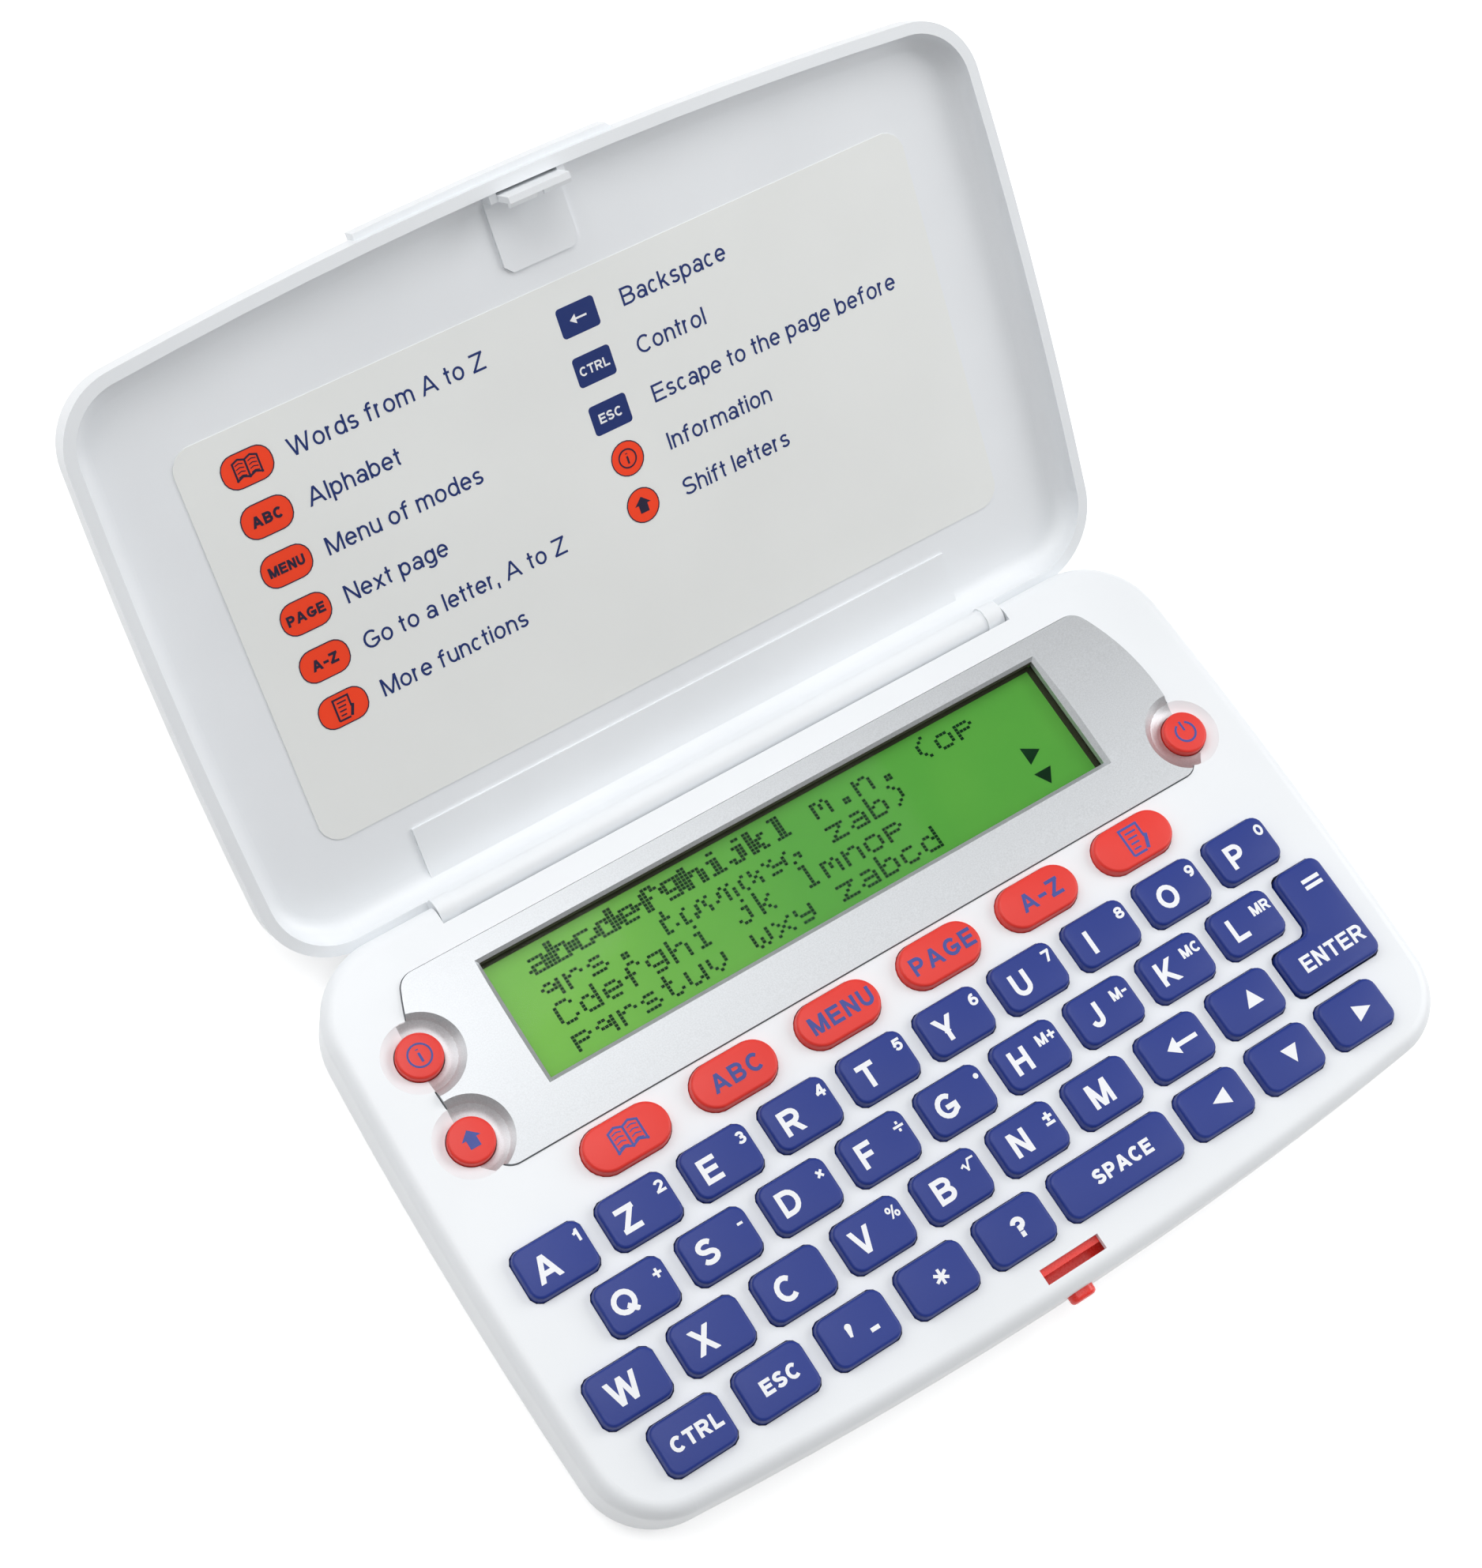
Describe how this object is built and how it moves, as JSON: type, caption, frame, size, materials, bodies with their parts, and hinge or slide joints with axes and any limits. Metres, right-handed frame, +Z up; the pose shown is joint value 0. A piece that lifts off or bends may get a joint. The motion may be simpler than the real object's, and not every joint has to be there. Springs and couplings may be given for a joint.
{
  "type": "electronic dictionary",
  "caption": "Pocket electronic dictionary: a flat case with a small full keyboard, a four-line display and a hinged lid that holds a quick reference label and a latch hook.",
  "frame": {"origin": "middle of the base's flat underside", "axes": "+X along the keyboard to the right, +Y from the latch to the hinge, +Z up; the lid is stored open"},
  "size_m": [0.1304, 0.1456, 0.0633],
  "materials": {
    "case_shell": "white moulded ABS, satin",
    "bezel": "silver metallic paint on plastic",
    "window": "clear acrylic, polished",
    "display": "green reflective liquid crystal panel",
    "board": "glass epoxy board with solder mask",
    "silicone": "matt silicone rubber",
    "steel": "nickel-plated steel",
    "label": "printed film label, satin",
    "red_plastic": "red moulded ABS",
    "blue_keys": "navy blue moulded ABS",
    "red_keys": "coral red, satin"
  },
  "bodies": {
    "base": {"top_case": "case_shell", "bottom_case": "case_shell", "display_bezel": "bezel", "display_window": "window", "lcd_panel": "display", "circuit_board": "board", "keypad_membrane": "silicone", "battery_door": "case_shell", "coin_cells": "steel", "case_screws": "steel"},
    "lid": {"lid": "case_shell", "quick_reference_label": "label"},
    "release": {"release_button": "red_plastic"},
    "a_cap": {"key_a": "blue_keys"},
    "z_cap": {"key_z": "blue_keys"},
    "e_cap": {"key_e": "blue_keys"},
    "r_cap": {"key_r": "blue_keys"},
    "t_cap": {"key_t": "blue_keys"},
    "y_cap": {"key_y": "blue_keys"},
    "u_cap": {"key_u": "blue_keys"},
    "i_cap": {"key_i": "blue_keys"},
    "o_cap": {"key_o": "blue_keys"},
    "p_cap": {"key_p": "blue_keys"},
    "q_cap": {"key_q": "blue_keys"},
    "s_cap": {"key_s": "blue_keys"},
    "d_cap": {"key_d": "blue_keys"},
    "f_cap": {"key_f": "blue_keys"},
    "g_cap": {"key_g": "blue_keys"},
    "h_cap": {"key_h": "blue_keys"},
    "j_cap": {"key_j": "blue_keys"},
    "k_cap": {"key_k": "blue_keys"},
    "l_cap": {"key_l": "blue_keys"},
    "m_cap": {"key_m": "blue_keys"},
    "w_cap": {"key_w": "blue_keys"},
    "x_cap": {"key_x": "blue_keys"},
    "c_cap": {"key_c": "blue_keys"},
    "v_cap": {"key_v": "blue_keys"},
    "b_cap": {"key_b": "blue_keys"},
    "n_cap": {"key_n": "blue_keys"},
    "backspace_cap": {"key_backspace": "blue_keys"},
    "up_cap": {"key_up": "blue_keys"},
    "control_cap": {"key_control": "blue_keys"},
    "escape_cap": {"key_escape": "blue_keys"},
    "apostrophe_cap": {"key_apostrophe": "blue_keys"},
    "star_cap": {"key_star": "blue_keys"},
    "question_cap": {"key_question": "blue_keys"},
    "left_cap": {"key_left": "blue_keys"},
    "down_cap": {"key_down": "blue_keys"},
    "right_cap": {"key_right": "blue_keys"},
    "space_cap": {"key_space": "blue_keys"},
    "enter_cap": {"key_enter": "blue_keys"},
    "function_key_1_cap": {"function_key_1": "red_keys"},
    "function_key_2_cap": {"function_key_2": "red_keys"},
    "function_key_3_cap": {"function_key_3": "red_keys"},
    "function_key_4_cap": {"function_key_4": "red_keys"},
    "function_key_5_cap": {"function_key_5": "red_keys"},
    "function_key_6_cap": {"function_key_6": "red_keys"},
    "button_info_cap": {"button_info": "red_keys"},
    "button_shift_cap": {"button_shift": "red_keys"},
    "button_power_cap": {"button_power": "red_keys"}
  },
  "joints": [
    {"name": "lid_hinge", "type": "hinge", "parent": "base", "child": "lid", "pos_m": [0, 0.04005, 0.0091], "axis": [1, 0, 0], "range_deg": [0, 137]},
    {"name": "release_press", "type": "slide", "parent": "base", "child": "release", "axis": [0, 1, 0], "range_m": [0, 0.001], "stiffness_N_per_m": 1500, "deforming": ["keypad_membrane"]},
    {"name": "key_a_press", "type": "slide", "parent": "base", "child": "a_cap", "axis": [0, 0, -1], "range_m": [0, 0.001], "stiffness_N_per_m": 500, "deforming": ["keypad_membrane"]},
    {"name": "key_z_press", "type": "slide", "parent": "base", "child": "z_cap", "axis": [0, 0, -1], "range_m": [0, 0.001], "stiffness_N_per_m": 500, "deforming": ["keypad_membrane"]},
    {"name": "key_e_press", "type": "slide", "parent": "base", "child": "e_cap", "axis": [0, 0, -1], "range_m": [0, 0.001], "stiffness_N_per_m": 500, "deforming": ["keypad_membrane"]},
    {"name": "key_r_press", "type": "slide", "parent": "base", "child": "r_cap", "axis": [0, 0, -1], "range_m": [0, 0.001], "stiffness_N_per_m": 500, "deforming": ["keypad_membrane"]},
    {"name": "key_t_press", "type": "slide", "parent": "base", "child": "t_cap", "axis": [0, 0, -1], "range_m": [0, 0.001], "stiffness_N_per_m": 500, "deforming": ["keypad_membrane"]},
    {"name": "key_y_press", "type": "slide", "parent": "base", "child": "y_cap", "axis": [0, 0, -1], "range_m": [0, 0.001], "stiffness_N_per_m": 500, "deforming": ["keypad_membrane"]},
    {"name": "key_u_press", "type": "slide", "parent": "base", "child": "u_cap", "axis": [0, 0, -1], "range_m": [0, 0.001], "stiffness_N_per_m": 500, "deforming": ["keypad_membrane"]},
    {"name": "key_i_press", "type": "slide", "parent": "base", "child": "i_cap", "axis": [0, 0, -1], "range_m": [0, 0.001], "stiffness_N_per_m": 500, "deforming": ["keypad_membrane"]},
    {"name": "key_o_press", "type": "slide", "parent": "base", "child": "o_cap", "axis": [0, 0, -1], "range_m": [0, 0.001], "stiffness_N_per_m": 500, "deforming": ["keypad_membrane"]},
    {"name": "key_p_press", "type": "slide", "parent": "base", "child": "p_cap", "axis": [0, 0, -1], "range_m": [0, 0.001], "stiffness_N_per_m": 500, "deforming": ["keypad_membrane"]},
    {"name": "key_q_press", "type": "slide", "parent": "base", "child": "q_cap", "axis": [0, 0, -1], "range_m": [0, 0.001], "stiffness_N_per_m": 500, "deforming": ["keypad_membrane"]},
    {"name": "key_s_press", "type": "slide", "parent": "base", "child": "s_cap", "axis": [0, 0, -1], "range_m": [0, 0.001], "stiffness_N_per_m": 500, "deforming": ["keypad_membrane"]},
    {"name": "key_d_press", "type": "slide", "parent": "base", "child": "d_cap", "axis": [0, 0, -1], "range_m": [0, 0.001], "stiffness_N_per_m": 500, "deforming": ["keypad_membrane"]},
    {"name": "key_f_press", "type": "slide", "parent": "base", "child": "f_cap", "axis": [0, 0, -1], "range_m": [0, 0.001], "stiffness_N_per_m": 500, "deforming": ["keypad_membrane"]},
    {"name": "key_g_press", "type": "slide", "parent": "base", "child": "g_cap", "axis": [0, 0, -1], "range_m": [0, 0.001], "stiffness_N_per_m": 500, "deforming": ["keypad_membrane"]},
    {"name": "key_h_press", "type": "slide", "parent": "base", "child": "h_cap", "axis": [0, 0, -1], "range_m": [0, 0.001], "stiffness_N_per_m": 500, "deforming": ["keypad_membrane"]},
    {"name": "key_j_press", "type": "slide", "parent": "base", "child": "j_cap", "axis": [0, 0, -1], "range_m": [0, 0.001], "stiffness_N_per_m": 500, "deforming": ["keypad_membrane"]},
    {"name": "key_k_press", "type": "slide", "parent": "base", "child": "k_cap", "axis": [0, 0, -1], "range_m": [0, 0.001], "stiffness_N_per_m": 500, "deforming": ["keypad_membrane"]},
    {"name": "key_l_press", "type": "slide", "parent": "base", "child": "l_cap", "axis": [0, 0, -1], "range_m": [0, 0.001], "stiffness_N_per_m": 500, "deforming": ["keypad_membrane"]},
    {"name": "key_m_press", "type": "slide", "parent": "base", "child": "m_cap", "axis": [0, 0, -1], "range_m": [0, 0.001], "stiffness_N_per_m": 500, "deforming": ["keypad_membrane"]},
    {"name": "key_w_press", "type": "slide", "parent": "base", "child": "w_cap", "axis": [0, 0, -1], "range_m": [0, 0.001], "stiffness_N_per_m": 500, "deforming": ["keypad_membrane"]},
    {"name": "key_x_press", "type": "slide", "parent": "base", "child": "x_cap", "axis": [0, 0, -1], "range_m": [0, 0.001], "stiffness_N_per_m": 500, "deforming": ["keypad_membrane"]},
    {"name": "key_c_press", "type": "slide", "parent": "base", "child": "c_cap", "axis": [0, 0, -1], "range_m": [0, 0.001], "stiffness_N_per_m": 500, "deforming": ["keypad_membrane"]},
    {"name": "key_v_press", "type": "slide", "parent": "base", "child": "v_cap", "axis": [0, 0, -1], "range_m": [0, 0.001], "stiffness_N_per_m": 500, "deforming": ["keypad_membrane"]},
    {"name": "key_b_press", "type": "slide", "parent": "base", "child": "b_cap", "axis": [0, 0, -1], "range_m": [0, 0.001], "stiffness_N_per_m": 500, "deforming": ["keypad_membrane"]},
    {"name": "key_n_press", "type": "slide", "parent": "base", "child": "n_cap", "axis": [0, 0, -1], "range_m": [0, 0.001], "stiffness_N_per_m": 500, "deforming": ["keypad_membrane"]},
    {"name": "key_backspace_press", "type": "slide", "parent": "base", "child": "backspace_cap", "axis": [0, 0, -1], "range_m": [0, 0.001], "stiffness_N_per_m": 500, "deforming": ["keypad_membrane"]},
    {"name": "key_up_press", "type": "slide", "parent": "base", "child": "up_cap", "axis": [0, 0, -1], "range_m": [0, 0.001], "stiffness_N_per_m": 500, "deforming": ["keypad_membrane"]},
    {"name": "key_control_press", "type": "slide", "parent": "base", "child": "control_cap", "axis": [0, 0, -1], "range_m": [0, 0.001], "stiffness_N_per_m": 500, "deforming": ["keypad_membrane"]},
    {"name": "key_escape_press", "type": "slide", "parent": "base", "child": "escape_cap", "axis": [0, 0, -1], "range_m": [0, 0.001], "stiffness_N_per_m": 500, "deforming": ["keypad_membrane"]},
    {"name": "key_apostrophe_press", "type": "slide", "parent": "base", "child": "apostrophe_cap", "axis": [0, 0, -1], "range_m": [0, 0.001], "stiffness_N_per_m": 500, "deforming": ["keypad_membrane"]},
    {"name": "key_star_press", "type": "slide", "parent": "base", "child": "star_cap", "axis": [0, 0, -1], "range_m": [0, 0.001], "stiffness_N_per_m": 500, "deforming": ["keypad_membrane"]},
    {"name": "key_question_press", "type": "slide", "parent": "base", "child": "question_cap", "axis": [0, 0, -1], "range_m": [0, 0.001], "stiffness_N_per_m": 500, "deforming": ["keypad_membrane"]},
    {"name": "key_left_press", "type": "slide", "parent": "base", "child": "left_cap", "axis": [0, 0, -1], "range_m": [0, 0.001], "stiffness_N_per_m": 500, "deforming": ["keypad_membrane"]},
    {"name": "key_down_press", "type": "slide", "parent": "base", "child": "down_cap", "axis": [0, 0, -1], "range_m": [0, 0.001], "stiffness_N_per_m": 500, "deforming": ["keypad_membrane"]},
    {"name": "key_right_press", "type": "slide", "parent": "base", "child": "right_cap", "axis": [0, 0, -1], "range_m": [0, 0.001], "stiffness_N_per_m": 500, "deforming": ["keypad_membrane"]},
    {"name": "key_space_press", "type": "slide", "parent": "base", "child": "space_cap", "axis": [0, 0, -1], "range_m": [0, 0.001], "stiffness_N_per_m": 500, "deforming": ["keypad_membrane"]},
    {"name": "key_enter_press", "type": "slide", "parent": "base", "child": "enter_cap", "axis": [0, 0, -1], "range_m": [0, 0.001], "stiffness_N_per_m": 500, "deforming": ["keypad_membrane"]},
    {"name": "function_key_1_press", "type": "slide", "parent": "base", "child": "function_key_1_cap", "axis": [0, 0, -1], "range_m": [0, 0.001], "stiffness_N_per_m": 500, "deforming": ["keypad_membrane"]},
    {"name": "function_key_2_press", "type": "slide", "parent": "base", "child": "function_key_2_cap", "axis": [0, 0, -1], "range_m": [0, 0.001], "stiffness_N_per_m": 500, "deforming": ["keypad_membrane"]},
    {"name": "function_key_3_press", "type": "slide", "parent": "base", "child": "function_key_3_cap", "axis": [0, 0, -1], "range_m": [0, 0.001], "stiffness_N_per_m": 500, "deforming": ["keypad_membrane"]},
    {"name": "function_key_4_press", "type": "slide", "parent": "base", "child": "function_key_4_cap", "axis": [0, 0, -1], "range_m": [0, 0.001], "stiffness_N_per_m": 500, "deforming": ["keypad_membrane"]},
    {"name": "function_key_5_press", "type": "slide", "parent": "base", "child": "function_key_5_cap", "axis": [0, 0, -1], "range_m": [0, 0.001], "stiffness_N_per_m": 500, "deforming": ["keypad_membrane"]},
    {"name": "function_key_6_press", "type": "slide", "parent": "base", "child": "function_key_6_cap", "axis": [0, 0, -1], "range_m": [0, 0.001], "stiffness_N_per_m": 500, "deforming": ["keypad_membrane"]},
    {"name": "button_info_press", "type": "slide", "parent": "base", "child": "button_info_cap", "axis": [0, 0, -1], "range_m": [0, 0.001], "stiffness_N_per_m": 500, "deforming": ["keypad_membrane"]},
    {"name": "button_shift_press", "type": "slide", "parent": "base", "child": "button_shift_cap", "axis": [0, 0, -1], "range_m": [0, 0.001], "stiffness_N_per_m": 500, "deforming": ["keypad_membrane"]},
    {"name": "button_power_press", "type": "slide", "parent": "base", "child": "button_power_cap", "axis": [0, 0, -1], "range_m": [0, 0.001], "stiffness_N_per_m": 500, "deforming": ["keypad_membrane"]}
  ]
}
